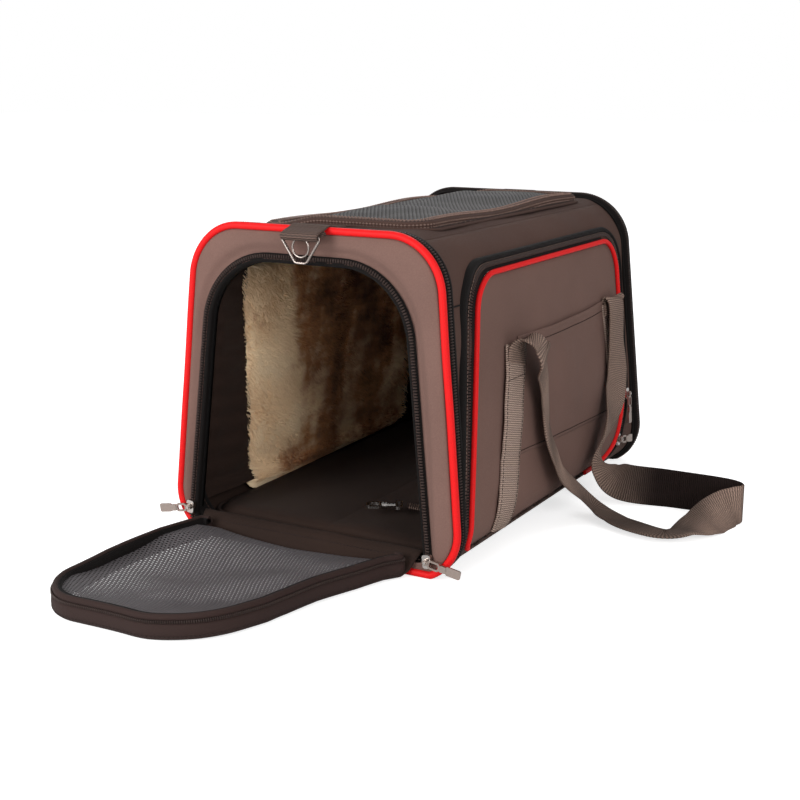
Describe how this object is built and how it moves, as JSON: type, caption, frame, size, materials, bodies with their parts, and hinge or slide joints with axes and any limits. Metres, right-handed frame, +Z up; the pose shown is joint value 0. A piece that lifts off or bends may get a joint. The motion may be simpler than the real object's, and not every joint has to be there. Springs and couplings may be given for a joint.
{
  "type": "pet carrier bag",
  "caption": "Soft-sided pet carrier bag with a fold-down mesh door, zip-open side panels, mesh top flap, piping, webbing handles, wire rings and a tether hook.",
  "frame": {"origin": "centre of the base, on its underside", "axes": "+X to the bag's right side, +Y along its length away from the fold-down door, +Z up"},
  "size_m": [0.6224, 0.7075, 0.3052],
  "materials": {
    "front_fabric": "600D woven polyester, matt",
    "body_fabric": "600D woven polyester, matt",
    "piping": "covered cord piping, satin",
    "zipper_tape": "woven zipper tape with nylon coil",
    "binding": "ribbed polyester binding",
    "mesh": "PVC coated open mesh",
    "webbing": "ribbed polyester webbing",
    "lining": "nylon lining",
    "fleece": "plush faux fur",
    "board": "corrugated plastic board",
    "spring_wire": "spring steel wire",
    "ring_metal": "polished nickel plate",
    "slider_metal": "nickel plated zinc"
  },
  "bodies": {
    "carrier": {"front_panel": "front_fabric", "rear_panel": "front_fabric", "base_panel": "body_fabric", "side_border_right": "body_fabric", "side_border_left": "body_fabric", "top_border": "body_fabric", "front_piping": "piping", "rear_piping": "piping", "front_zipper_tape": "zipper_tape", "rear_zipper_tape": "zipper_tape", "door_opening_zipper": "zipper_tape", "right_panel_zipper": "zipper_tape", "left_panel_zipper": "zipper_tape", "door_hinge_tape": "binding", "rear_mesh_window": "mesh", "front_ring_tab": "webbing", "rear_ring_tab": "webbing", "tether_strap": "webbing", "floor_pad": "lining", "right_gusset": "lining", "left_gusset": "lining", "fleece_lining": "fleece", "base_board": "board", "front_wire_frame": "spring_wire", "rear_wire_frame": "spring_wire", "tether_swivel": "ring_metal"},
    "front_door": {"door_rim": "binding", "door_mesh": "mesh", "door_zipper_tape": "zipper_tape"},
    "top_flap": {"top_flap_binding": "binding", "top_flap_mesh": "mesh"},
    "front_ring": {"front_ring": "ring_metal"},
    "rear_ring": {"rear_ring": "ring_metal"},
    "tether_hook": {"tether_hook": "ring_metal"},
    "tether_gate": {"tether_gate": "ring_metal"},
    "right_panel": {"right_panel": "body_fabric", "right_panel_piping": "piping", "right_pocket": "body_fabric", "right_front_webbing": "webbing", "right_rear_webbing": "webbing"},
    "right_handle": {"right_handle": "webbing"},
    "door_slider_right": {"door_slider_right": "slider_metal"},
    "door_pull_right": {"door_pull_right": "slider_metal"},
    "right_upper_slider": {"right_upper_slider": "slider_metal"},
    "right_upper_pull": {"right_upper_pull": "slider_metal"},
    "right_lower_slider": {"right_lower_slider": "slider_metal"},
    "right_lower_pull": {"right_lower_pull": "slider_metal"},
    "left_panel": {"left_panel": "body_fabric", "left_panel_piping": "piping", "left_pocket": "body_fabric", "left_front_webbing": "webbing", "left_rear_webbing": "webbing"},
    "left_handle": {"left_handle": "webbing"},
    "door_slider_left": {"door_slider_left": "slider_metal"},
    "door_pull_left": {"door_pull_left": "slider_metal"},
    "left_upper_slider": {"left_upper_slider": "slider_metal"},
    "left_upper_pull": {"left_upper_pull": "slider_metal"},
    "left_lower_slider": {"left_lower_slider": "slider_metal"},
    "left_lower_pull": {"left_lower_pull": "slider_metal"}
  },
  "joints": [
    {"name": "front_door_hinge", "type": "hinge", "parent": "carrier", "child": "front_door", "pos_m": [-0.006, -0.226, 0.012], "axis": [-1, 0, 0], "range_deg": [0, 90]},
    {"name": "top_flap_hinge", "type": "hinge", "parent": "carrier", "child": "top_flap", "pos_m": [-0.087, 0.004, 0.2944], "axis": [0, -1, 0], "range_deg": [0, 165]},
    {"name": "right_panel_hinge", "type": "hinge", "parent": "carrier", "child": "right_panel", "pos_m": [0.15262, -0.013, 0.02536], "axis": [0, 1, 0], "range_deg": [0, 95]},
    {"name": "right_handle_swing", "type": "hinge", "parent": "right_panel", "child": "right_handle", "pos_m": [0.13903, 0.04, 0.18981], "axis": [0, -1, 0], "range_deg": [0, 150]},
    {"name": "left_panel_hinge", "type": "hinge", "parent": "carrier", "child": "left_panel", "pos_m": [-0.15262, -0.013, 0.02536], "axis": [0, -1, 0], "range_deg": [0, 95]},
    {"name": "left_handle_swing", "type": "hinge", "parent": "left_panel", "child": "left_handle", "pos_m": [-0.13903, 0.04, 0.18981], "axis": [0, 1, 0], "range_deg": [0, 150]},
    {"name": "front_ring_swing", "type": "hinge", "parent": "carrier", "child": "front_ring", "pos_m": [0, -0.229, 0.287], "axis": [-1, 0, 0], "range_deg": [0, 150]},
    {"name": "rear_ring_swing", "type": "hinge", "parent": "carrier", "child": "rear_ring", "pos_m": [0, 0.229, 0.287], "axis": [1, 0, 0], "range_deg": [0, 150]},
    {"name": "door_slider_right_slide", "type": "slide", "parent": "carrier", "child": "door_slider_right", "axis": [-0.1054, 0, 0.9944], "range_m": [0, 0.13]},
    {"name": "door_pull_right_swing", "type": "hinge", "parent": "door_slider_right", "child": "door_pull_right", "pos_m": [0.12057, -0.2223, 0.017], "axis": [0, -1, 0], "range_deg": [0, 105]},
    {"name": "door_slider_left_slide", "type": "slide", "parent": "carrier", "child": "door_slider_left", "axis": [0.1054, 0, 0.9944], "range_m": [0, 0.13]},
    {"name": "door_pull_left_swing", "type": "hinge", "parent": "door_slider_left", "child": "door_pull_left", "pos_m": [-0.13162, -0.2223, 0.026], "axis": [0, 1, 0], "range_deg": [0, 105]},
    {"name": "right_upper_slider_slide", "type": "slide", "parent": "carrier", "child": "right_upper_slider", "axis": [-0.0931, 0.1676, 0.9815], "range_m": [0, 0.04]},
    {"name": "right_upper_pull_swing", "type": "hinge", "parent": "right_upper_slider", "child": "right_upper_pull", "pos_m": [0.14336, 0.18157, 0.08375], "axis": [0.9955, 0, 0.0944], "range_deg": [-20, 20]},
    {"name": "right_lower_slider_slide", "type": "slide", "parent": "carrier", "child": "right_lower_slider", "axis": [-0.0604, 0.7682, 0.6373], "range_m": [0, 0.01]},
    {"name": "right_lower_pull_swing", "type": "hinge", "parent": "right_lower_slider", "child": "right_lower_pull", "pos_m": [0.14752, 0.15027, 0.03994], "axis": [0.9955, 0, 0.0944], "range_deg": [-10, 10]},
    {"name": "left_upper_slider_slide", "type": "slide", "parent": "carrier", "child": "left_upper_slider", "axis": [0.0931, 0.1676, 0.9815], "range_m": [0, 0.04]},
    {"name": "left_upper_pull_swing", "type": "hinge", "parent": "left_upper_slider", "child": "left_upper_pull", "pos_m": [-0.14336, 0.18157, 0.08375], "axis": [-0.9955, 0, 0.0944], "range_deg": [-20, 20]},
    {"name": "left_lower_slider_slide", "type": "slide", "parent": "carrier", "child": "left_lower_slider", "axis": [0.0604, 0.7682, 0.6373], "range_m": [0, 0.01]},
    {"name": "left_lower_pull_swing", "type": "hinge", "parent": "left_lower_slider", "child": "left_lower_pull", "pos_m": [-0.14752, 0.15027, 0.03994], "axis": [-0.9955, 0, 0.0944], "range_deg": [-10, 10]},
    {"name": "tether_hook_swivel", "type": "hinge", "parent": "carrier", "child": "tether_hook", "pos_m": [0.04, -0.135, 0.029], "axis": [-0.8713, -0.4907, 0], "continuous": true},
    {"name": "tether_gate_hinge", "type": "hinge", "parent": "tether_hook", "child": "tether_gate", "pos_m": [0.02798, -0.14911, 0.029], "axis": [0, 0, -1], "range_deg": [0, 14], "stiffness_Nm_per_rad": 0.002}
  ]
}
